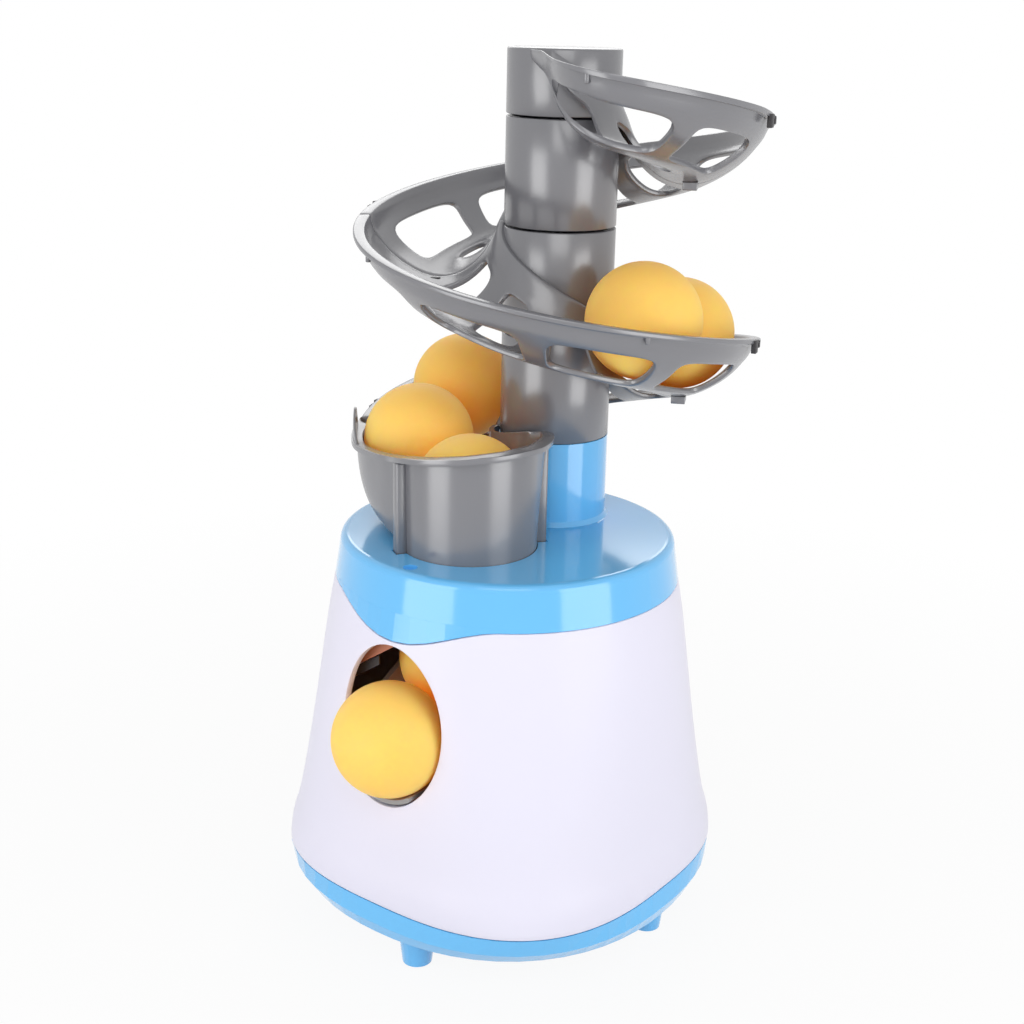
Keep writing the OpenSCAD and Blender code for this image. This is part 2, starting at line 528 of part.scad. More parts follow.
module feed_guide() color(grey) difference() {
  union() {
    translate([0, -hopper_y, 96]) cylinder(r = hopper_d / 2 + 0.1, h = 41, $fn = 90);
    translate([0, -hopper_y, 134]) cylinder(r = hopper_d / 2 + 2.2, h = 7, $fn = 90);
    translate([-6, 0.5, 132]) cube([12, gate_c[0] + 1.5, 8]);
  }
  translate([0, -hopper_y, 90]) cylinder(r = hopper_d / 2 - 1.9, h = 60, $fn = 90);
  translate([0, -hopper_y, hopper_base]) cylinder(r = hopper_d / 2 + 0.2, h = 10, $fn = 90);
  translate([-40, -hopper_y - 60, 90]) cube([80, 60, 44]);
  along() cylinder(r = chute_r + 2.05, h = 90, $fn = 90);
  translate([-3, -4, 126]) cube([6, 12, 20]);
  axle(gate_c, pin_r + 0.03, -10, 10);
}

// Sprung finger that carries the next ball at the hopper's mouth
module feed_gate() color(grey) difference() {
  side(-2.5, 5) polygon([[gate_c[0] + 2, gate_c[1] - 2], [gate_c[0] + 2.5, gate_c[1] + 2.5],
    [2, 141.6], [-18, 144.1], [-26, 144.1], [-26, 142.8], [-17, 142.4], [1, 138], [2.5, 134.5]]);
  axle(gate_c, pin_r + play, -10, 10);
}
module gate_pin() color(steel) axle(gate_c, pin_r, -6, 6);

// Launcher frame, in the y-z plane
cam_c = [-34, 34];
lobe_turn = -108;
two_c = cam_c + tooth_m * 25.5 * [cos(60), sin(60)];
one_c = two_c + tooth_m * 24 * [cos(16), sin(16)];
motor_c = one_c + tooth_m * 25 * [cos(15), sin(15)];
arm_c = [-50, 52];
plate_x = 18;
plate_t = 2.5;
bars = [[26, 36], [22, 70], [-58, 44], [-8, 84]];
// Turns a drawing in x-y into the y-z plane, its thickness along x from x0
module side(x0, h) translate([x0, 0, 0]) rotate([90, 0, 90]) linear_extrude(h) children();
module axle(c, r, x0, x1) translate([x0, c[0], c[1]]) rotate([0, 90, 0])
  cylinder(r = r, h = x1 - x0, $fn = 48);
box_top = foot_h + 19.2;
module frame_plate(x0) color(dark) difference() {
  side(x0, plate_t) polygon([[-21.2, box_top], [34, box_top], [34, 52], [12, 95.8], [-40, 95.8],
    [-61, 76], [-61, 40], [-36, 18], [-21.2, 18]]);
  along() translate([0, 0, -20]) cylinder(r = chute_r + 2.05, h = 110, $fn = 90);
  level() translate([0, 0, 40]) cylinder(r = chute_r + 2.05, h = 40, $fn = 90);
  for (c = [two_c, one_c]) axle(c, pin_r + 0.03, -30, 30);
  for (c = [cam_c, arm_c]) axle(c, big_pin_r + 0.03, -30, 30);
  axle([16, 44], 5, -30, 30);
  axle([-2, 96], 4, -30, 30);
  axle([6, 78], 6, -30, 30);
  axle([-34, 72], 6, -30, 30);
}
module frame_left() frame_plate(-plate_x - plate_t);
module frame_right() frame_plate(plate_x);
module frame_bars() color(dark) {
  for (c = bars) axle(c, 2.5, -plate_x, plate_x);
  difference() {
    translate([-plate_x, motor_c[0] - 9, motor_c[1] - 12.4]) cube([25, 18, 9]);
    axle(motor_c, 10.05, -30, 30);
  }
  for (x = [-plate_x, plate_x - 4]) translate([x, 20, box_top]) cube([4, 10, 6]);
}
module gear_pins() color(steel) {
  for (c = [two_c, one_c]) axle(c, pin_r, -plate_x - plate_t, plate_x + plate_t);
  axle(cam_c, big_pin_r, -plate_x - plate_t, plate_x + plate_t);
}
module arm_pin() color(steel) axle(arm_c, big_pin_r, -plate_x - plate_t, plate_x + plate_t);

// Gear outline with its first tooth at angle a
function tooth(n, a) = [for (i = [0 : n - 1]) let (s = 360 / n)
  for (p = [[-1.15, -0.28], [0, -0.21], [0.85, -0.1], [0.85, 0.1], [0, 0.21], [-1.15, 0.28]])
  let (r = tooth_m * (n / 2 + p[0]), b = a + (i + p[1]) * s) [r * cos(b), r * sin(b)]];
module wheel(c, n, a, x0, x1) side(x0, x1 - x0) translate(c) polygon(tooth(n, a));
module cam_gear() color(white) difference() {
  union() {
    wheel(cam_c, 42, 60, 4, 7);
    axle(cam_c, 4, -plate_x + 0.4, 7);
    axle(cam_c, 2.9, 7, plate_x - 0.4);
    side(-3, 6) translate(cam_c) polygon([for (i = [0 : 71]) let (t = i * 5,
      r = 5 + 7.9 * (t <= 15 ? t / 15 : max(0, 1 - (t - 15) / 80)))
      [r * cos(t + lobe_turn), r * sin(t + lobe_turn)]]);
  }
  axle(cam_c, big_pin_r + play, -30, 30);
}
module gear_two() color(white) difference() {
  union() {
    wheel(two_c, 9, 260, 3.8, 7.2);
    wheel(two_c, 38, 16, 8, 10.5);
    axle(two_c, 1.7, -plate_x + 0.4, 3.8);
    axle(two_c, 1.8, 7, 11.1);
  }
  axle(two_c, pin_r + play, -30, 30);
}
module gear_one() color(white) difference() {
  union() {
    wheel(one_c, 10, 214, 7.8, 10.7);
    wheel(one_c, 42, 15, 11.5, 14);
    axle(one_c, 1.8, -plate_x + 0.4, 7.8);
    axle(one_c, 1.8, 10.5, plate_x - 0.4);
  }
  axle(one_c, pin_r + play, -30, 30);
}
module pinion() color(brass) difference() {
  wheel(motor_c, 8, 217.5, 11.3, 14.5);
  axle(motor_c, 1.02, 0, 30);
}
module motor_shaft() color(steel) {
  axle(motor_c, 1, -16, 15);
  axle(motor_c, 7.6, -12, 5);
}
module motor_can() color(steel) difference() {
  union() {
    axle(motor_c, 10, -16, 9);
    axle(motor_c, 3, 9, 10.5);
  }
  axle(motor_c, 9, -17, 8);
  axle(motor_c, 1 + play, 0, 20);
}
module motor_cap() color(dark) difference() {
  union() {
    axle(motor_c, 9.8, -plate_x, -16);
    axle(motor_c, 8.9, -16, -14);
  }
  axle(motor_c, 1 + play, -17, 0);
}

// Kicker
head = arm_c + [4, 21];
tail = arm_c + [0, -18];
module kicker_arm() color(orange) difference() {
  union() {
    side(-3, 6) hull() {
      translate(arm_c) circle(r = 4.5, $fn = 32);
      translate(tail) circle(r = 3, $fn = 32);
    }
    side(-3, 6) hull() {
      translate(arm_c) circle(r = 4.5, $fn = 32);
      translate(head - [1.2, 5.2]) circle(r = 2, $fn = 32);
    }
    side(-1.2, 2.4) hull() {
      translate(head - [1.2, 6]) circle(r = 2, $fn = 32);
      translate(head) circle(r = 1.2, $fn = 32);
    }
    axle(arm_c, 4, -plate_x + 0.4, plate_x - 0.4);
  }
  axle(arm_c, big_pin_r + play, -30, 30);
}
module kicker_pad() color(dark) difference() {
  axle(head, 2.6, -3.6, 3.6);
  side(-1.25, 2.5) hull() {
    translate(head - [1.2, 6]) circle(r = 2.05, $fn = 32);
    translate(head) circle(r = 1.25, $fn = 32);
  }
}

// Round wire along a path of points
function cross_u(a, b) = let (c = cross(a, b)) c / norm(c);
function path_dir(p, i) = let (n = len(p), d = p[min(n - 1, i + 1)] - p[max(0, i - 1)]) d / norm(d);
module wire(p, r, up = [0.31, 0.23, 0.92], n = 8) {
  m = len(p);
  pts = [for (i = [0 : m - 1]) let (t = path_dir(p, i), a = cross_u(t, up), b = cross(t, a))
    for (k = [0 : n - 1]) p[i] + r * (a * cos(k * 360 / n) + b * sin(k * 360 / n))];
  faces = concat([[for (k = [n - 1 : -1 : 0]) k]],
    [for (i = [0 : m - 2]) for (k = [0 : n - 1]) let (q = (k + 1) % n) each [
      [i * n + k, i * n + q, (i + 1) * n + q], [i * n + k, (i + 1) * n + q, (i + 1) * n + k]]],
    [[for (k = [0 : n - 1]) (m - 1) * n + k]]);
  polyhedron(pts, faces, convexity = 6);
}
// Torsion spring round the arm's hub: one leg on the front bar, one before the arm's tail
spring_r = 5.2;
module kicker_spring() color(steel) {
  turns = 3;
  steps = 12;
  wire(concat(
    [[-4.3, arm_c[0] - 3.75, arm_c[1] - 17], [-4.6, arm_c[0] - spring_r, arm_c[1] - 8]],
    [for (i = [0 : turns * steps]) let (a = 180 - i * 360 / steps)
      [-4.8 - 7.4 * i / turns / steps, arm_c[0] + spring_r * cos(a), arm_c[1] + spring_r * sin(a)]],
    [[-12.6, arm_c[0] - spring_r, arm_c[1] + 2], [-12.8, bars[2][0] + 1.4, bars[2][1] + 2.9]]), 0.45,
    up = [1, 0.02, 0.03], n = 6);
}

// Switch on the back wall and the two leads
switch_y = plan_r(90, switch_z + 5.5) - wall - 0.45;
module switch_body() color(dark) difference() {
  translate([-10, switch_y - 9, switch_z - 5.5]) cube([20, 9, 11]);
  translate([-7.6, switch_y - 5.2, switch_z - 3]) cube([15.2, 8, 6]);
}
module switch_knob() color(dark) {
  translate([-6.2, switch_y - 5, switch_z - 2.7]) cube([6.2, 3.6, 5.4]);
  translate([-4.8, switch_y - 2, switch_z - 1.7]) cube([3.4, 7.7, 3.4]);
}
// Smooth path through points
function bend(p, n = 4) = [for (i = [0 : len(p) - 2]) for (k = [0 : n - 1]) let (t = k / n,
  a = p[max(0, i - 1)], b = p[i], c = p[i + 1], d = p[min(len(p) - 1, i + 2)])
  0.5 * (2 * b + (c - a) * t + (2 * a - 5 * b + 4 * c - d) * t * t
    + (3 * b - a - 3 * c + d) * t * t * t)];
module lead_red() color([0.75, 0.1, 0.1]) wire(bend([[4, switch_y - 9.2, switch_z], [5, 52, 46],
  [-4, 42, 42], [-24, 34, 40], [-24.5, 20, 48], [-24, 8, 56], [-22.2, 4, 58], [-21.4, 3, 59]]), 0.7, n = 6);
module lead_black() color(dark) wire(bend([[-4, switch_y - 9.9, switch_z], [-6, 54, 40],
  [-20, 46, 34], [-30, 41, 30], [-31, 38.4, 26], [-31, 37.4, 22]]), 0.7, n = 6);

base_tray();
feet();
base_screws();
battery_door();
door_screw();
battery_box();
cells();
cell_ends();
contacts();
body_shell();
lid();
bowl();
track_start();
track_upper();
track_front();
track_lower();
track_clips();
chute();
feed_guide();
feed_gate();
gate_pin();
frame_left();
frame_right();
frame_bars();
gear_pins();
arm_pin();
kicker_arm();
kicker_pad();
kicker_spring();
cam_gear();
gear_two();
gear_one();
motor_can();
motor_cap();
motor_shaft();
pinion();
switch_body();
switch_knob();
lead_red();
lead_black();
ball_outlet();
ball_queued();
ball_track_a();
ball_track_b();
ball_bowl_front();
ball_bowl_side();
ball_bowl_back();
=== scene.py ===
import math
import bpy
from mathutils import Matrix, Vector


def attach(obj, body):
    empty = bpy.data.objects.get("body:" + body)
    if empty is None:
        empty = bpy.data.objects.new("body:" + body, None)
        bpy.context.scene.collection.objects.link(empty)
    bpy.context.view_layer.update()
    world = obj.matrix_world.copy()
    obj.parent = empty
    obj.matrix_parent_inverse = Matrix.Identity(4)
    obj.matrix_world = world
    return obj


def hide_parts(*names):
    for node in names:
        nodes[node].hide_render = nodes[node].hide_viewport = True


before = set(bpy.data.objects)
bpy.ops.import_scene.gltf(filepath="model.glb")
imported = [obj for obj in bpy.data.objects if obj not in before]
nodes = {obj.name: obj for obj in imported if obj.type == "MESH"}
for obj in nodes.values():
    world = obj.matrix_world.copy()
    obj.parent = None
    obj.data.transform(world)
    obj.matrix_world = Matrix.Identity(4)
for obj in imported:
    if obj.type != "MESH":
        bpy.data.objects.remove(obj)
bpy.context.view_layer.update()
scene = bpy.context.scene
scene.view_settings.view_transform = "Standard"


# ---------- camera, fitted to the photograph ----------
CAMERA_PLACE = (0.31532, -0.42385, 0.32492)
CAMERA_RIGHT = (0.799585, 0.600188, 0.020917)
CAMERA_UP = (-0.203133, 0.237514, 0.949907)
CAMERA_BACK = (0.565156, -0.763781, 0.311831)

cam_data = bpy.data.cameras.new("camera")
cam_data.lens = 54.313
cam_data.sensor_width = 36.0
cam_data.clip_end = 20
cam = bpy.data.objects.new("camera", cam_data)
axes = [Vector(v) for v in (CAMERA_RIGHT, CAMERA_UP, CAMERA_BACK)]
view_point = Matrix(axes).transposed().to_4x4()
view_point.translation = Vector(CAMERA_PLACE)
cam.matrix_world = view_point
scene.collection.objects.link(cam)
scene.camera = cam


# ---------- materials ----------
MOTTLE_SIZE, MOTTLE_DETAIL = 35, 3        # slow change of colour and gloss over a piece
GRAIN_SIZE, GRAIN_DETAIL = 900.0, 2       # fine grain of the moulded surface
GRAIN_DEPTH = 0.0002
ROUGH_SPREAD, ROUGH_LEAST = 0.04, 0.02
COAT_ROUGH = 0.12
SHELL_REACH = (1.0, 0.4, 0.1)             # how far red, green and blue light go in a ball
SHELL_DEPTH = 0.02
# painted glow: an orange emission that brightens the balls' shade side, standing in for light let
# through
PAINTED_GLOW, PAINTED_GLOW_STRENGTH = (1.0, 0.22, 0.01, 1), 0.15


def linear(rgb):
    """A written 0 to 255 colour as the shader's linear one."""
    out = []
    for v in rgb:
        out.append(v / 255 / 12.92 if v <= 10 else ((v / 255 + 0.055) / 1.055) ** 2.4)
    return tuple(out)


def plastic(name, rgb, rough, coat=0.0, grain=0.0, spec=0.5, sss_and_glow=0.0, vary=0.03, metallic=0.0,
            ior=1.5):
    """A material with a little mottling; with sss it lets light through, as a ball's thin shell
    does, and gets a painted orange glow, an emission that lights its shade side.
    """
    mat = bpy.data.materials.new(name)
    mat.use_nodes = True
    nt = mat.node_tree
    bsdf = nt.nodes["Principled BSDF"]
    bsdf.inputs["Metallic"].default_value = metallic
    bsdf.inputs["IOR"].default_value = ior
    bsdf.inputs["Specular IOR Level"].default_value = spec
    bsdf.inputs["Coat Weight"].default_value = coat
    bsdf.inputs["Coat Roughness"].default_value = COAT_ROUGH
    if sss_and_glow:
        bsdf.inputs["Subsurface Weight"].default_value = sss_and_glow
        bsdf.inputs["Subsurface Radius"].default_value = SHELL_REACH
        bsdf.inputs["Subsurface Scale"].default_value = SHELL_DEPTH
        # painted glow: an orange emission that lights the shade side of the ball
        bsdf.inputs["Emission Color"].default_value = PAINTED_GLOW
        bsdf.inputs["Emission Strength"].default_value = PAINTED_GLOW_STRENGTH
    place = nt.nodes.new("ShaderNodeTexCoord")
    mottle = nt.nodes.new("ShaderNodeTexNoise")
    mottle.inputs["Scale"].default_value = MOTTLE_SIZE
    mottle.inputs["Detail"].default_value = MOTTLE_DETAIL
    nt.links.new(place.outputs["Object"], mottle.inputs["Vector"])
    base = linear(rgb)
    tint = nt.nodes.new("ShaderNodeMixRGB")
    tint.inputs["Color1"].default_value = tuple(min(1, v * (1 + vary)) for v in base) + (1,)
    tint.inputs["Color2"].default_value = tuple(v * (1 - vary) for v in base) + (1,)
    nt.links.new(mottle.outputs["Fac"], tint.inputs["Fac"])
    nt.links.new(tint.outputs["Color"], bsdf.inputs["Base Color"])
    gloss = nt.nodes.new("ShaderNodeMapRange")
    gloss.inputs["To Min"].default_value = max(ROUGH_LEAST, rough - ROUGH_SPREAD)
    gloss.inputs["To Max"].default_value = rough + ROUGH_SPREAD
    nt.links.new(mottle.outputs["Fac"], gloss.inputs["Value"])
    nt.links.new(gloss.outputs["Result"], bsdf.inputs["Roughness"])
    if grain:
        fine = nt.nodes.new("ShaderNodeTexNoise")
        fine.inputs["Scale"].default_value = GRAIN_SIZE
        fine.inputs["Detail"].default_value = GRAIN_DETAIL
        nt.links.new(place.outputs["Object"], fine.inputs["Vector"])
        bump = nt.nodes.new("ShaderNodeBump")
        bump.inputs["Strength"].default_value = grain
        bump.inputs["Distance"].default_value = GRAIN_DEPTH
        nt.links.new(fine.outputs["Fac"], bump.inputs["Height"])
        nt.links.new(bump.outputs["Normal"], bsdf.inputs["Normal"])
    return mat


silver = plastic("silver_plastic", (112, 112, 117), 0.25, grain=0.05, spec=0.7, ior=1.75)
blue = plastic("sky_blue_plastic", (103, 191, 247), 0.12, coat=0.5, vary=0.01)
white = plastic("pearl_white_plastic", (232, 230, 245), 0.3, spec=0.2, vary=0.004)
# the balls: light through the shell, plus a painted orange glow on their shade side
celluloid = plastic("ball_celluloid", (255, 211, 112), 0.6, sss_and_glow=0.8, grain=0.05, vary=0.01,
                    spec=0.3)
dark = plastic("dark_plastic", (52, 50, 52), 0.5, grain=0.2)
brown = plastic("brown_plastic", (112, 66, 44), 0.5)
# red-brown that paints the orange ball's reflection on the chute's wall
painted_reflection_brown = plastic("red_brown_plastic", (196, 128, 100), 0.5)
grey = plastic("grey_plastic", (150, 150, 152), 0.45, grain=0.2)
rubber = plastic("black_rubber", (38, 38, 40), 0.75, grain=0.3)
steel = plastic("steel", (190, 192, 196), 0.3, metallic=1.0)
brass = plastic("brass", (214, 180, 104), 0.3, metallic=1.0)
nylon = plastic("white_nylon", (228, 226, 216), 0.5)
orange_nylon = plastic("orange_nylon", (224, 128, 48), 0.45)
red_sleeve = plastic("red_sleeve", (180, 26, 24), 0.4)
cell_sleeve = plastic("cell_sleeve", (214, 120, 30), 0.25, coat=0.5)
LOOK = {}
for look_of, names in (
        (blue, "base_tray battery_door lid"),
        (white, "body_shell"),
        (silver, "bowl track_start track_upper track_front track_lower"),
        (grey, "chute feed_guide feed_gate"),
        (dark, "battery_box track_clips motor_cap switch_body switch_knob lead_black"),
        (brown, "frame_left frame_right frame_bars"),
        (rubber, "feet kicker_pad"),
        (steel, "base_screws door_screw cell_ends contacts gate_pin gear_pins arm_pin"),
        (steel, "kicker_spring motor_can motor_shaft"),
        (nylon, "cam_gear gear_two gear_one"),
        (brass, "pinion"),
        (orange_nylon, "kicker_arm"),
        (cell_sleeve, "cells"),
        (red_sleeve, "lead_red")):
    for part_name in names.split():
        LOOK[part_name] = look_of


SHARP_DEG = 32


def smooth_by_angle(obj):
    for face in obj.data.polygons:
        face.use_smooth = True
    obj.data.set_sharp_from_angle(angle=math.radians(SHARP_DEG))


for name, obj in nodes.items():
    mat = celluloid if name.startswith("ball_") else LOOK[name]
    obj.data.materials.clear()
    obj.data.materials.append(mat)
    smooth_by_angle(obj)


# ---------- shapes that follow the part's rules, drawn finer ----------
# lengths in mm, angles in degrees; az is the angle round the column, 0 at the front
MM = 0.001
COLUMN_Y, COLUMN_R = 27.0, 19.8
RIM_R, MODULE_H, JOINT = 72.8, 37.7, -62.0
Z4 = 176.5                                # foot of the lowest half turn's tube
Z3, Z2, Z1 = Z4 + MODULE_H, Z4 + 2 * MODULE_H, Z4 + 3 * MODULE_H
TOP_H = 22.0                              # the start piece's tube
PITCH = MODULE_H / 180                    # fall of the lane per degree
LANE_LIFT = 0.6                           # lane's end above the foot of its tube
HALF_N, START_N = 34, 22                  # columns of a half turn's grid, and of the start piece's
END_TURN, COLUMN_TURN, LAST_TURN = 7.4, 41.3 / 8, 7.28
# profile of the lane from lip to column, (radius, height): underside and upper side
UNDER = [(72.8, -1.8), (70.8, -1.9), (69.0, -6.2), (66.9, -9.2), (63.6, -13.2), (59.2, -17.0),
         (53.4, -20.5), (48.4, -22.4), (43.2, -23.0), (38.4, -22.3), (33.8, -20.4), (29.4, -17.2),
         (25.9, -13.4), (23.5, -9.6), (21.6, -5.0), (19.2, -0.2)]
OVER = [(72.8, 0), (68.8, 0), (67.1, -5.5), (65.2, -8.1), (62.2, -11.8), (58.1, -15.3),
        (52.7, -18.6), (48.0, -20.4), (43.3, -21.0), (39.1, -20.4), (34.9, -18.7), (30.9, -15.8),
        (27.6, -12.3), (25.3, -8.7), (23.5, -4.4), (21.4, 0)]
ROW_N = len(UNDER) - 1


def cosd(a):
    return math.cos(math.radians(a))


def sind(a):
    return math.sin(math.radians(a))


def smooth_step(t):
    c = min(1.0, max(0.0, t))
    return c * c * (3 - 2 * c)


def spline(a, b, c, d, f):
    """Point at share f from b to c, on a smooth curve through a, b, c and d."""
    return tuple(0.5 * (2 * q + (r - p) * f + (2 * p - 5 * q + 4 * r - s) * f * f
                        + (3 * q - p - 3 * r + s) * f ** 3) for p, q, r, s in zip(a, b, c, d))


def along_table(t, v):
    """Point on a profile: straight over the lip, a smooth curve through the rest."""
    i = min(len(t) - 2, int(v))
    f = v - i
    b, c = t[i], t[i + 1]
    if i == 0:
        return [b[k] + (c[k] - b[k]) * f for k in (0, 1)]
    a = t[i - 1] if i > 1 else (2 * b[0] - c[0], 2 * b[1] - c[1])
    d = t[i + 2] if i + 2 < len(t) else (2 * c[0] - b[0], 2 * c[1] - b[1])
    return spline(a, b, c, d, f)


def track_turn(u):
    """Degrees run from the upper joint at column u of a half turn."""
    if u < 1:
        return END_TURN * u
    if u < HALF_N - 1:
        return END_TURN + (u - 1) * COLUMN_TURN
    return 180 - END_TURN + (u - HALF_N + 1) * LAST_TURN


def half_turn(z0, spin):
    def f(l, u, v):
        turn = track_turn(u)
        q = along_table(OVER if l else UNDER, v)
        a = JOINT + turn - 90 + spin
        z = z0 + q[1] + MODULE_H + LANE_LIFT - turn * PITCH
        return (q[0] * cosd(a), COLUMN_Y + q[0] * sind(a), z)
    return f


START_END = 118                           # az where the start piece meets the next
# columns of the start piece and their az; how far the lane has grown out of the tube at an az
START_AZ = [(0, 3.0), (5, 26), (13, 71), (21, 110.6), (START_N, START_END)]
START_REACH = [(3, 0.05), (15, 0.17), (25, 0.33), (34, 0.69), (40, 0.86), (48, 0.97), (56, 1),
               (120, 1)]


def look(x, t):
    """Value at x in rising pairs."""
    if x <= t[0][0]:
        return t[0][1]
    for (x0, y0), (x1, y1) in zip(t, t[1:]):
        if x <= x1:
            return y0 + (y1 - y0) * (x - x0) / (x1 - x0)
    return t[-1][1]


def start_piece(l, u, v):
    az = look(u, START_AZ)
    q = along_table(OVER if l else UNDER, v)
    g = curve_look(az, START_REACH)
    a = az - 90
    rise = 0.8 * smooth_step((START_END - 3 - az) / 20)
    top = min(TOP_H - 0.4, LANE_LIFT + (START_END - az) * PITCH + rise)
    inner = COLUMN_R - 0.6
    r = inner + (q[0] - inner) * g
    return (r * cosd(a), COLUMN_Y + r * sind(a), Z1 + max(q[1], q[1] * (0.1 + 0.9 * g)) + top)


def bay(i0):
    """An outer window and an inner slot over eight columns, as skin() takes them."""
    return [(i0, i0 + 8, 2, 7, i0 + 4, 4.8, 33.3 / 2 / COLUMN_TURN, 1.7, 5),
            (i0, i0 + 8, 7, 14, i0 + 16 / COLUMN_TURN, 10.3, 12 / COLUMN_TURN, 2.3, 4)]


def skin(name, f, nu, nv, windows=(), loop=False, sub=(3, 2), rings=3, flip=False, bevel=0.5):
    """Two-layer closed sheet over a grid of nu by nv cells; f(layer, u, v) gives a point in mm.

    A window is its cells (u from, to, v from, to), its middle (u, v), its half sizes
    (u, v) and the power that squares its corners.
    """
    su, sv = sub
    verts, faces, index = [], [], {}

    def vert(l, u, v):
        if loop:
            u = u % nu
        key = (l, round(u, 6), round(v, 6))
        if key not in index:
            index[key] = len(verts)
            verts.append([c * MM for c in f(l, u, v)])
        return index[key]

    def inside(i, j):
        return any(w[0] <= i < w[1] and w[2] <= j < w[3] for w in windows)

    def put(*ids):
        ids = list(dict.fromkeys(ids))
        if len(ids) > 2:
            faces.append(ids[::-1] if flip else ids)

    for i in range(nu * su):
        for j in range(nv * sv):
            if inside(i // su, j // sv):
                continue
            u0, u1, v0, v1 = i / su, (i + 1) / su, j / sv, (j + 1) / sv
            put(vert(0, u0, v0), vert(0, u0, v1), vert(0, u1, v1), vert(0, u1, v0))
            put(vert(1, u0, v0), vert(1, u1, v0), vert(1, u1, v1), vert(1, u0, v1))
    for w in windows:
        i0, i1, j0, j1, mid_u, mid_v, half_u, half_v, power = w
        edge = [(i0 + k / su, j0) for k in range((i1 - i0) * su)]
        edge += [(i1, j0 + k / sv) for k in range((j1 - j0) * sv)]
        edge += [(i1 - k / su, j1) for k in range((i1 - i0) * su)]
        edge += [(i0, j1 - k / sv) for k in range((j1 - j0) * sv)]
        rim = []
        for u, v in edge:
            a = (2 * u - i0 - i1) / (i1 - i0)
            b = (2 * v - j0 - j1) / (j1 - j0)
            n = (abs(a) ** power + abs(b) ** power) ** (1 / power)
            rim.append((mid_u + half_u * a / n, mid_v + half_v * b / n))

        def at(k, r):
            p, q = edge[k % len(edge)], rim[k % len(edge)]
            return tuple(p[c] + (q[c] - p[c]) * (r / rings) for c in (0, 1))

        for k in range(len(edge)):
            for r in range(rings):
                p, q, s, t = at(k, r), at(k + 1, r), at(k + 1, r + 1), at(k, r + 1)
                put(vert(0, *t), vert(0, *s), vert(0, *q), vert(0, *p))
                put(vert(1, *p), vert(1, *q), vert(1, *s), vert(1, *t))
            p, q = at(k, rings), at(k + 1, rings)
            put(vert(0, *p), vert(1, *p), vert(1, *q), vert(0, *q))
    for i in range(nu * su):
        u0, u1 = i / su, (i + 1) / su
        put(vert(0, u0, 0), vert(0, u1, 0), vert(1, u1, 0), vert(1, u0, 0))
        put(vert(0, u1, nv), vert(0, u0, nv), vert(1, u0, nv), vert(1, u1, nv))
    if not loop:
        for j in range(nv * sv):
            v0, v1 = j / sv, (j + 1) / sv
            put(vert(0, 0, v1), vert(0, 0, v0), vert(1, 0, v0), vert(1, 0, v1))
            put(vert(0, nu, v0), vert(0, nu, v1), vert(1, nu, v1), vert(1, nu, v0))
    ob = mesh_object(name, verts, faces)
    if bevel:
        soften(ob, bevel)
    return ob


def mesh_object(name, verts, faces):
    me = bpy.data.meshes.new(name)
    me.from_pydata(verts, [], faces)
    me.validate()
    ob = bpy.data.objects.new(name, me)
    scene.collection.objects.link(ob)
    return ob


EDGE_DEG = 40


def soften(ob, width, segments=2):
    """Rounds the edges sharper than EDGE_DEG, width in mm."""
    edge = ob.modifiers.new("edge", "BEVEL")
    edge.width = width * MM
    edge.segments = segments
    edge.limit_method = "ANGLE"
    edge.angle_limit = math.radians(EDGE_DEG)
    edge.harden_normals = False
    for face in ob.data.polygons:
        face.use_smooth = True


def turned(name, profile, centre, n):
    """A profile of (radius, height) turned round a vertical axis in n steps."""
    verts, faces = [], []
    m = len(profile)
    for i in range(n):
        a = 2 * math.pi * i / n
        for r, z in profile:
            x, y = centre[0] + r * math.cos(a), centre[1] + r * math.sin(a)
            verts.append((x * MM, y * MM, z * MM))
    for i in range(n):
        k = (i + 1) % n
        for j in range(m - 1):
            faces.append((i * m + j, k * m + j, k * m + j + 1, i * m + j + 1))
    ob = mesh_object(name, verts, faces)
    for face in ob.data.polygons:
        face.use_smooth = True
    return ob


# ---------- body plan ----------
SHELL_BOTTOM, SHELL_TOP, CORNER_R, TOP_R = 25.5, 130.0, 80.2, 62.0
WALL, FOOT_H, FLAT = 2.2, 9.0, 0.91
VISOR_DROP, VISOR_HALF = 8.2, 36.0
OUT_W, OUT_H, OUT_Z = 43.0, 57.5, 91.5
LID_Z = 145.6
# radius at the body's corners by height
CORNER_T = [(FOOT_H - 0.5, CORNER_R - 16.2), (FOOT_H + 1.5, CORNER_R - 11.7),
            (FOOT_H + 5.5, CORNER_R - 5), (FOOT_H + 10, CORNER_R - 1.2),
            (SHELL_BOTTOM, CORNER_R), (33, CORNER_R - 0.8), (41.5, CORNER_R - 3.3),
            (60, CORNER_R - 6.9), (80, CORNER_R - 10.2), (100, TOP_R + 5),
            (120, TOP_R + 1.9), (SHELL_TOP, TOP_R)]


def curve_look(x, t):
    """Monotone smooth curve through the table (Hermite with limited slopes)."""
    if x <= t[0][0]:
        return t[0][1]
    if x >= t[-1][0]:
        return t[-1][1]
    i = next(k for k in range(len(t) - 1) if t[k][0] <= x <= t[k + 1][0])

    def sec(k):
        return (t[k + 1][1] - t[k][1]) / (t[k + 1][0] - t[k][0])

    def slope(k):
        if k == 0:
            return sec(0)
        if k == len(t) - 1:
            return sec(k - 1)
        a, b = sec(k - 1), sec(k)
        return 0.0 if a * b <= 0 else 2 * a * b / (a + b)
    h = t[i + 1][0] - t[i][0]
    s = (x - t[i][0]) / h
    return ((2 * s ** 3 - 3 * s * s + 1) * t[i][1] + (s ** 3 - 2 * s * s + s) * h * slope(i)
            + (3 * s * s - 2 * s ** 3) * t[i + 1][1] + (s ** 3 - s * s) * h * slope(i + 1))


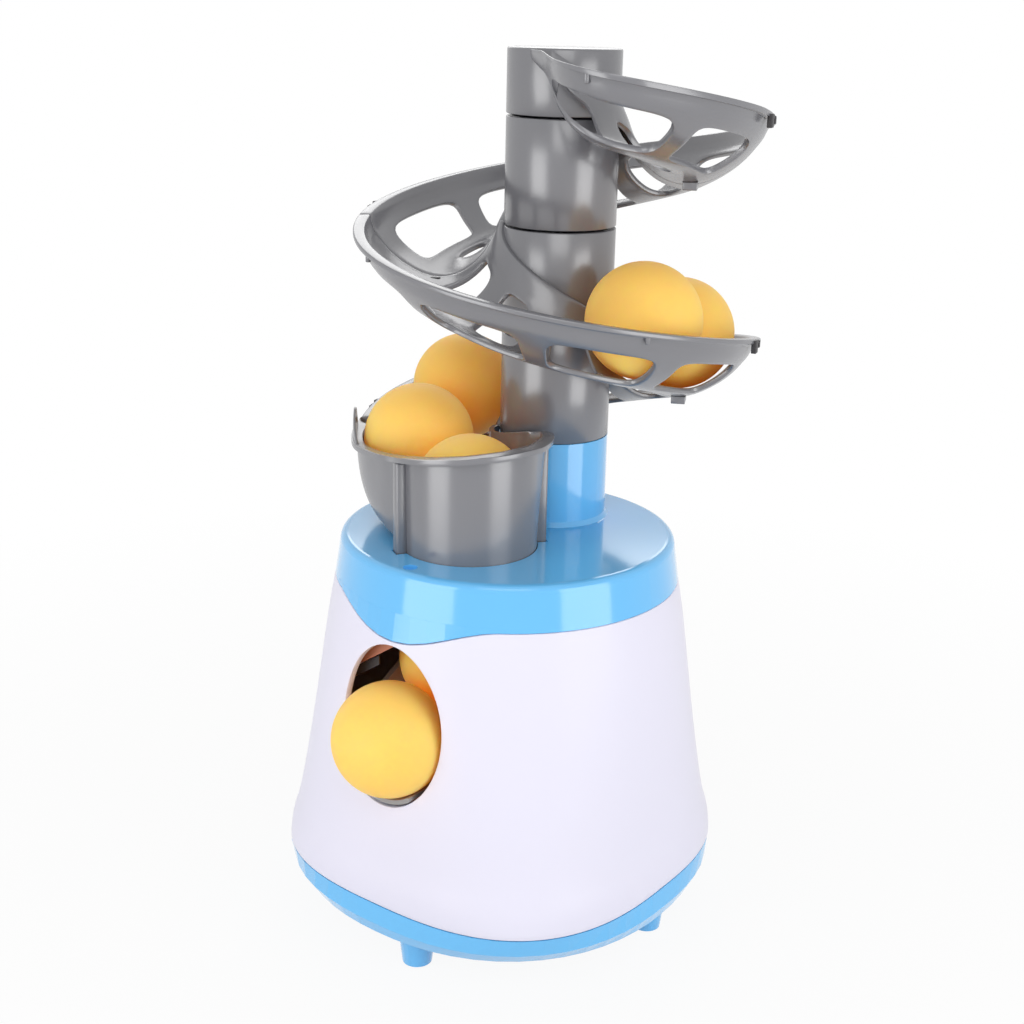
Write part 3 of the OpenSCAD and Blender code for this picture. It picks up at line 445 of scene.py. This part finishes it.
def flat_at(z):
    """Middle of a side as a share of the corner's radius: least at z 25, 1 from z 113 up."""
    if z < 25:
        return min(1.0, FLAT + (25 - z) * 0.0055)
    return min(1.0, FLAT + (1 - FLAT) * (z - 25) / 88)


def plan(a, z, inset=0.0):
    """Point of the body's outline in the direction a, a superellipse at each height."""
    k = min(0.99999, flat_at(z))
    n = 1 / (0.5 + math.log(k) / math.log(2))
    r = curve_look(z, CORNER_T) * k / (abs(cosd(a)) ** n + abs(sind(a)) ** n) ** (1 / n) - inset
    return (r * cosd(a), r * sind(a), z)


def seam_z(a):
    """Height of the lid's edge, which dips over the outlet."""
    front = abs(((a + 90 + 540) % 360) - 180)
    return SHELL_TOP - VISOR_DROP * (0.5 + 0.5 * cosd(min(1, front / VISOR_HALF) * 180))


SHELL_N, SHELL_STEP = 60, 6               # columns round the shell, degrees each
OUT_ROW_Z, OUT_ROW_H = 58, 10.5           # the even rows that hold the outlet
LAST_ROW_Z = 121
ROW_Z = ([SHELL_BOTTOM + 0.4, 33, 41.5] + [OUT_ROW_Z + OUT_ROW_H * k for k in range(6)]
         + [LAST_ROW_Z])
LAST_ROW = len(ROW_Z) - 1


def shell_point(l, u, v):
    a = u * SHELL_STEP
    i = min(LAST_ROW - 1, int(v))
    if v > LAST_ROW:
        z = LAST_ROW_Z + (v - LAST_ROW) * (seam_z(a) - 0.25 - LAST_ROW_Z)
    else:
        z = ROW_Z[i] + (ROW_Z[i + 1] - ROW_Z[i]) * (v - i)
    return plan(a, z, l * WALL)


# ---------- bowl ----------
HOP_Y, HOP_D, RIM_Z, FLOOR_Z, HOP_BASE = -22.6, 47.6, 183.0, 149.6, 137.0
# columns of the rim: open to the lane, along the lane's lip, round the hopper, along the tube
OPEN_N, LEFT_N, LIP_N, HUG_N = ROW_N, 9, 26, 10
LIP_FROM, HUG_FROM = OPEN_N + LEFT_N, OPEN_N + LEFT_N + LIP_N
BOWL_N = HUG_FROM + HUG_N
LEFT_LIP = [(-62, RIM_Z - 5.9), (-50, RIM_Z - 7.8), (-40, RIM_Z - 8.4), (-32, RIM_Z - 7.6),
            (-23, RIM_Z - 6.3), (-16, RIM_Z - 5)]
LIP_HIGH = [(231, RIM_Z - 4.3), (255, RIM_Z - 2), (288, RIM_Z + 0.2), (320, RIM_Z + 1.6),
            (350, RIM_Z + 2.1), (383, RIM_Z + 1.3), (411, RIM_Z + 0.5), (431, RIM_Z - 1)]
LIP_OUT = [(383, 4), (397, 4.5), (411, 6), (421, 7.5), (431, 8.2)]
LIP_IN = [(383, -1.4), (402, 0.4), (416, 2.7), (430, 5.6)]


def about(cy, r, a, z):
    """Point at radius r, angle a and height z round the axis (0, cy)."""
    return (r * cosd(a), cy + r * sind(a), z)


def rim_at(l, u, wall_top):
    """Edge of the bowl's lip, or the top of its wall, at whole column u."""
    under = 1.9 if wall_top else 1.8
    if u <= OPEN_N:
        q = (UNDER if l == 0 else OVER)[OPEN_N - u]
        return about(COLUMN_Y, max(q[0], COLUMN_R + (0.4 if l == 0 else 2.2)), JOINT - 90 + 0.12,
                     Z4 + 0.6 + q[1])
    if u <= LIP_FROM:
        t = (u - OPEN_N) / LEFT_N
        az = JOINT + 46 * t
        r = RIM_R + 1.4 * sind(180 * min(1, t / 0.75)) - (4 - 1.9 * (1 - l) if wall_top else 0)
        return about(COLUMN_Y, r, az - 90, look(az, LEFT_LIP) - (1 - l) * under)
    if u <= HUG_FROM:
        a = 231 + 200 * (u - LIP_FROM) / LIP_N
        e, g = look(a, LIP_OUT), look(a, LIP_IN)
        r = HOP_D / 2 + ((min(g + 1.9, e - 0.5) if l == 0 else g) if wall_top else e)
        return about(HOP_Y, r, a, look(a, LIP_HIGH) - (1 - l) * under)
    az = 19 - 81 * (u - HUG_FROM) / HUG_N
    swell = 1.7 * smooth_step((-az - 22) / 22) * (1 - smooth_step((-az - 52) / 9))
    r = COLUMN_R + 2.4 + swell - 0.8 * smooth_step((-az - 50) / 12)
    return about(COLUMN_Y, max(COLUMN_R + 0.4, r - (1 - l) * 1.8), az - 90,
                 Z4 + 0.6 + 4.4 * smooth_step((az + 46) / 70) - (1.3 if wall_top else 0))


def bowl_edge(l, u, wall_top):
    """The rim as a smooth curve through its whole columns."""
    i = int(math.floor(u))
    f = u - i
    if f < 1e-6:
        return rim_at(l, i % BOWL_N, wall_top)
    p = [rim_at(l, k % BOWL_N, wall_top) for k in (i - 1, i, i + 1, i + 2)]
    for k in (OPEN_N, HUG_FROM):
        if i == k:
            p[0] = p[1]
        if i + 1 == k:
            p[3] = p[2]
    return spline(*p, f)


# angle round the hopper by column of the rim
BOWL_TURN = [(0, 114.6), (OPEN_N, 166.6), (LIP_FROM, 231), (HUG_FROM, 431), (BOWL_N, 474.6)]
BOWL_ROWS, BOWL_WALL = 9, 2               # first row the hopper's neck, last row the lip


def bowl_point(l, u, v):
    w = u % BOWL_N
    edge = bowl_edge(l, w, True)
    neck = about(HOP_Y, HOP_D / 2 - l * BOWL_WALL, look(w, BOWL_TURN), 0)
    floor_z = FLOOR_Z - (1 - l) * BOWL_WALL
    if v < 1:
        return (neck[0], neck[1], HOP_BASE + (floor_z - HOP_BASE) * v)
    if v > BOWL_ROWS - 1:
        f = v - BOWL_ROWS + 1
        out = bowl_edge(l, w, False)
        top = wall_point(neck, edge, floor_z, 1, w)
        return tuple(top[k] + (out[k] - top[k]) * f for k in (0, 1, 2))
    return wall_point(neck, edge, floor_z, (v - 1) / (BOWL_ROWS - 2), w)


def wall_point(neck, edge, floor_z, t, w):
    """The bowl's wall at share t of the way up: straight near the hopper, bellied further out."""
    if w < BOWL_N - 1:
        opened = 1 - smooth_step(w - OPEN_N)
    else:
        opened = smooth_step(w - BOWL_N + 1)
    t *= 1 - 0.04 * opened
    k = 1 - smooth_step((math.hypot(edge[0], edge[1] - HOP_Y) - 25) / 9)
    dip = max(0, 1 - cosd(90 * t)) ** 1.25
    x = k * t + (1 - k) * sind(90 * t) ** (0.72 + 0.28 * opened)
    z = k * t + (1 - k) * (dip + opened * 0.15 * (sind(90 * t) - dip))
    return (neck[0] + (edge[0] - neck[0]) * x, neck[1] + (edge[1] - neck[1]) * x,
            floor_z + (edge[2] - floor_z) * z)


# ---------- the finer pieces ----------
def join(name, *objs):
    """Applies the modifiers of some pieces and makes them one."""
    for one in objs:
        bpy.context.view_layer.objects.active = one
        for ob in bpy.context.selected_objects:
            ob.select_set(False)
        one.select_set(True)
        for mod in list(one.modifiers):
            bpy.ops.object.modifier_apply(modifier=mod.name)
    for one in objs:
        one.select_set(True)
    bpy.context.view_layer.objects.active = objs[0]
    if len(objs) > 1:
        bpy.ops.object.join()
    ob = bpy.context.object
    ob.name = name
    ob.data.name = name
    return ob


def finish_piece(ob, mat, body, *replaced):
    """A finer piece: its look, the body that it moves with and the nodes that it stands for."""
    ob.data.materials.clear()
    ob.data.materials.append(mat)
    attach(ob, body)
    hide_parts(*replaced)


TUBE_STEPS, PEG_STEPS = 128, 20
PEG_R, PEG_H, PEG_RAD = 0.9, 3.2, 71.4    # a peg's radius, height and place from the column


def tube_at(name, z0, h, cap=False):
    """A length of the column, closed on top with cap, else with a step that seats the next."""
    r, w = COLUMN_R, 2.0
    prof = [(r - w - 2, z0), (r - 0.3, z0), (r, z0 + 0.3)]
    if cap:
        prof += [(r, z0 + h - 0.7), (r - 0.25, z0 + h - 0.2), (r - 0.8, z0 + h), (0.001, z0 + h)]
    else:
        prof += [(r, z0 + h - 1.1), (r - 0.3, z0 + h - 0.8), (r - w, z0 + h - 0.8), (r - w, z0 + 3)]
    return turned(name, prof, (0, COLUMN_Y), TUBE_STEPS)


def peg(name, az, rad, z):
    """A small round peg under the lip."""
    a = az - 90
    profile = [(0.001, z), (PEG_R - 0.2, z), (PEG_R, z + 0.2), (PEG_R, z + PEG_H)]
    return turned(name, profile, (rad * cosd(a), COLUMN_Y + rad * sind(a)), PEG_STEPS)


HALF_BAYS = bay(1) + bay(9) + bay(17) + bay(25)
for name, z0, spin in (("track_upper", Z2, 180), ("track_front", Z3, 0), ("track_lower", Z4, 180)):
    channel = skin(name + "_channel", half_turn(z0, spin), HALF_N, ROW_N, HALF_BAYS)
    tube = tube_at(name + "_tube", z0, MODULE_H)
    pegs = [peg(name + "_peg%d" % p, JOINT + p + spin, PEG_RAD,
                z0 + MODULE_H - p * PITCH - 3.4) for p in (33, 121)]
    finish_piece(join(name + "_fine", channel, tube, *pegs), silver, "stand", name)
FIRST_WINDOW = (5, 13, 2, 7, 9, 4.75, 3.45, 1.8, 4)
channel = skin("start_channel", start_piece, START_N, ROW_N,
               [FIRST_WINDOW, bay(5)[1]] + bay(13), sub=(4, 2))
tube = tube_at("start_tube", Z1, TOP_H, cap=True)
start_peg = peg("start_peg", 41, 64.4, Z1 + 77 * PITCH - 3.0)
finish_piece(join("track_start_fine", channel, tube, start_peg), silver, "stand", "track_start")

OUT_SHELL_R = 66.6                        # the body's radius at the outlet
OUTLET = (41, 49, 3, LAST_ROW, 45, 3 + (OUT_Z - OUT_ROW_Z) / OUT_ROW_H,
          math.degrees(math.asin(OUT_W / 2 / OUT_SHELL_R)) / SHELL_STEP,
          OUT_H / 2 / OUT_ROW_H, 2)
SWITCH_SLOT = (13, 17, 1, 3, 15, 2.25, 0.75, 0.16, 6)
shell = skin("shell_wall", shell_point, SHELL_N, LAST_ROW + 1, [OUTLET, SWITCH_SLOT],
             loop=True, sub=(4, 3), rings=5, flip=True, bevel=0.45)
finish_piece(join("body_shell_fine", shell), white, "stand", "body_shell")

bowl = skin("bowl_wall", bowl_point, BOWL_N, BOWL_ROWS, (), loop=True, sub=(4, 3), flip=True,
            bevel=0.45)
parts = []
for a in (-120.5, 49.5):                  # the two posts beside the hopper
    tall = look((a + 129) % 360 + 231, LIP_HIGH) - LID_Z - 0.9
    bpy.ops.mesh.primitive_cube_add(size=1)
    p = bpy.context.object
    p.name = "bowl_post"
    p.data.transform(Matrix.Diagonal((4.2 * MM, 4.6 * MM, tall * MM, 1)))
    p.data.transform(Matrix.Translation((25.3 * MM, 0, tall / 2 * MM)))
    p.data.transform(Matrix.Rotation(math.radians(a), 4, "Z"))
    p.data.transform(Matrix.Translation((0, HOP_Y * MM, (LID_Z - 0.7) * MM)))
    soften(p, 0.9, segments=3)
    parts.append(p)


EAR_N = 12
EAR_TALL = [(-57, 1), (-54.4, 8.5), (-52.6, 9.4), (-48.6, 7.2), (-43, 3.6), (-38, 0.4)]


def ear_point(l, u, v):
    """A leaf that stands on the lip at the left, along the arc."""
    az = -57 + u * 19 / EAR_N
    tall = look(az, EAR_TALL)
    thin = 0.35 * v
    return about(COLUMN_Y, RIM_R + 0.9 - thin - l * (1.5 - 2 * thin), az - 90, 174.6 + tall * v)


parts.append(skin("bowl_ear", ear_point, EAR_N, 1, (), sub=(2, 4), bevel=0.3))
finish_piece(join("bowl_fine", bowl, *parts), silver, "stand", "bowl")


def block(name, az, rad, w, z):
    """A bar across the lane's edge: rad and z are pairs, w its width, round the column at az."""
    bpy.ops.mesh.primitive_cube_add(size=1)
    ob = bpy.context.object
    ob.name = name
    size = ((rad[1] - rad[0]) * MM, w * MM, (z[1] - z[0]) * MM)
    ob.data.transform(Matrix.Diagonal(size + (1,)))
    ob.data.transform(Matrix.Translation(((rad[0] + rad[1]) / 2 * MM, 0, (z[0] + z[1]) / 2 * MM)))
    ob.data.transform(Matrix.Rotation(math.radians(az - 90), 4, "Z"))
    ob.data.transform(Matrix.Translation((0, COLUMN_Y * MM, 0)))
    soften(ob, 0.25)
    return ob


jaws, tabs = [], []
for foot, az in ((Z1, JOINT + 180), (Z2, JOINT), (Z3, JOINT + 180), (Z4, JOINT)):
    z = foot + LANE_LIFT
    jaws.append(block("jaw_long", az - 13.8, (71.9, 73.7), 2.9, (z - 1.9, z + 2.6)))
    jaws.append(block("jaw_short", az - 9.4, (71.9, 73.5), 1.5, (z - 1.0, z + 1.6)))
    jaws.append(block("jaw_bar", az - 11.6, (71.9, 73.2), 5.0, (z + 0.6, z + 1.9)))
    jaws.append(block("tab_back", az - 1.5, (42.4, 47.8), 7.4, (z - 21.9, z - 21.3)))
    tabs.append(block("tab", az - 1.5, (42.6, 47.6), 7.0, (z - 24.6, z - 21.8)))
finish_piece(join("clip_jaws", *jaws), dark, "stand", "track_clips")
finish_piece(join("clip_tabs", *tabs), silver, "stand")


def seam_band(l, u, v):
    """A dark band seen through the gap between tray and shell: painted shade in the gap."""
    return plan(u * SHELL_STEP, SHELL_BOTTOM - 0.5 + 1.4 * v, 0.75 + l * 0.6)


# painted shade: a dark band inside the gap where the tray meets the shell
band = skin("seam_band", seam_band, SHELL_N, 1, (), loop=True, sub=(3, 1), flip=True, bevel=0)
finish_piece(band, dark, "stand")

# the chute's wall that shows above the waiting ball: a plate coloured red-brown as a painted
# reflection of the orange ball, and under it a dark plate that is painted shade
# outline of the painted reflection of the ball on the chute's wall
REFLECTION_PATCH = [(-27.0, 101.5), (-5.2, 116.2), (-12, 121), (-25, 119)]
# outline of a dark plate that is painted shade under the chute's wall, round the waiting ball
SHADE_PATCH = [(-25.5, 98.4), (-12.4, 107.4), (-12.6, 110.6), (-25.5, 102.6)]
PLATE_T = 0.6
for name, outline, y, mat in (("outlet_lining", REFLECTION_PATCH, -57.0, painted_reflection_brown),
                              ("outlet_slot", SHADE_PATCH, -56.2, dark)):
    n = len(outline)
    verts = [(x * MM, (y + k * PLATE_T) * MM, z * MM) for k in (0, 1) for x, z in outline]
    faces = [tuple(range(n)), tuple(range(2 * n - 1, n - 1, -1))]
    faces += [(k, n + k, n + (k + 1) % n, (k + 1) % n) for k in range(n)]
    finish_piece(mesh_object(name, verts, faces), mat, "stand")


# ---------- floor and lights ----------
FLOOR_GREY = (0.7, 0.7, 0.7, 1)
FLOOR_SIZE = 8
NEAR, FAR = (0.1, 0.93), (0.5, 1.0)       # distance from the object, brightness seen there
WORLD_LIGHT, WORLD_SEEN = 0.42, 1.0
WHITE = (1, 1, 1, 1)


def background_rays(nt):
    """1 for rays that see the background: from the camera, off gloss, through glass."""
    path = nt.nodes.new("ShaderNodeLightPath")
    last = path.outputs["Is Camera Ray"]
    for kind in ("Is Glossy Ray", "Is Transmission Ray"):
        either = nt.nodes.new("ShaderNodeMath")
        either.operation = "MAXIMUM"
        nt.links.new(last, either.inputs[0])
        nt.links.new(path.outputs[kind], either.inputs[1])
        last = either.outputs[0]
    return last


def mix_shaders(nt, share, lit, seen, out):
    mix = nt.nodes.new("ShaderNodeMixShader")
    nt.links.new(share, mix.inputs["Fac"])
    nt.links.new(lit, mix.inputs[1])
    nt.links.new(seen, mix.inputs[2])
    nt.links.new(mix.outputs[0], out.inputs["Surface"])


def floor_look():
    """Takes the object's light and shadow, and looks white."""
    mat = bpy.data.materials.new("floor")
    mat.use_nodes = True
    nt = mat.node_tree
    bsdf = nt.nodes["Principled BSDF"]
    bsdf.inputs["Base Color"].default_value = FLOOR_GREY
    bsdf.inputs["Roughness"].default_value = 0.9
    bsdf.inputs["Specular IOR Level"].default_value = 0.0
    emission = nt.nodes.new("ShaderNodeEmission")
    emission.inputs["Strength"].default_value = 1.0
    place = nt.nodes.new("ShaderNodeTexCoord")
    away = nt.nodes.new("ShaderNodeVectorMath")
    away.operation = "LENGTH"
    nt.links.new(place.outputs["Object"], away.inputs[0])
    fade = nt.nodes.new("ShaderNodeMapRange")
    fade.inputs["From Min"].default_value, fade.inputs["To Min"].default_value = NEAR
    fade.inputs["From Max"].default_value, fade.inputs["To Max"].default_value = FAR
    nt.links.new(away.outputs["Value"], fade.inputs["Value"])
    share = nt.nodes.new("ShaderNodeMath")
    share.operation = "MULTIPLY"
    nt.links.new(background_rays(nt), share.inputs[0])
    nt.links.new(fade.outputs["Result"], share.inputs[1])
    mix_shaders(nt, share.outputs[0], bsdf.outputs[0], emission.outputs[0],
                nt.nodes["Material Output"])
    return mat


bpy.ops.mesh.primitive_plane_add(size=FLOOR_SIZE, location=(0, 0, 0))
floor = bpy.context.object
floor.name = "floor"
floor.data.materials.append(floor_look())

world = bpy.data.worlds.new("world")
scene.world = world
world.use_nodes = True
nt = world.node_tree
light = nt.nodes["Background"]
seen = nt.nodes.new("ShaderNodeBackground")
for background, strength in ((light, WORLD_LIGHT), (seen, WORLD_SEEN)):
    background.inputs["Color"].default_value = WHITE
    background.inputs["Strength"].default_value = strength
mix_shaders(nt, background_rays(nt), light.outputs[0], seen.outputs[0], nt.nodes["World Output"])


def area(name, place, target, size, watts):
    """A rectangular lamp that the camera doesn't see."""
    lamp = bpy.data.lights.new(name, "AREA")
    lamp.shape = "RECTANGLE"
    lamp.size, lamp.size_y = size
    lamp.energy = watts
    ob = bpy.data.objects.new(name, lamp)
    ob.location = place
    aim = Vector(target) - Vector(place)
    ob.rotation_euler = aim.to_track_quat("-Z", "Y").to_euler()
    ob.visible_camera = False
    scene.collection.objects.link(ob)


CAMERA_AZ = 36.5


def around(deg, dist, z):
    """A place round the object; 0 is the camera's side, positive is to its right."""
    a = math.radians(CAMERA_AZ + deg)
    return (math.sin(a) * dist, -math.cos(a) * dist, z)


for side, deg in (("left", -48), ("right", 50)):
    area("panel_" + side, around(deg, 0.45, 0.2), (0, 0, 0.2), (0.27, 0.4), 0.95)
area("front", around(0, 0.55, 0.6), (0, 0, 0.25), (0.4, 0.3), 0.75)
area("back", around(180, 0.8, 0.7), (0, 0, 0.2), (0.7, 0.5), 2.4)
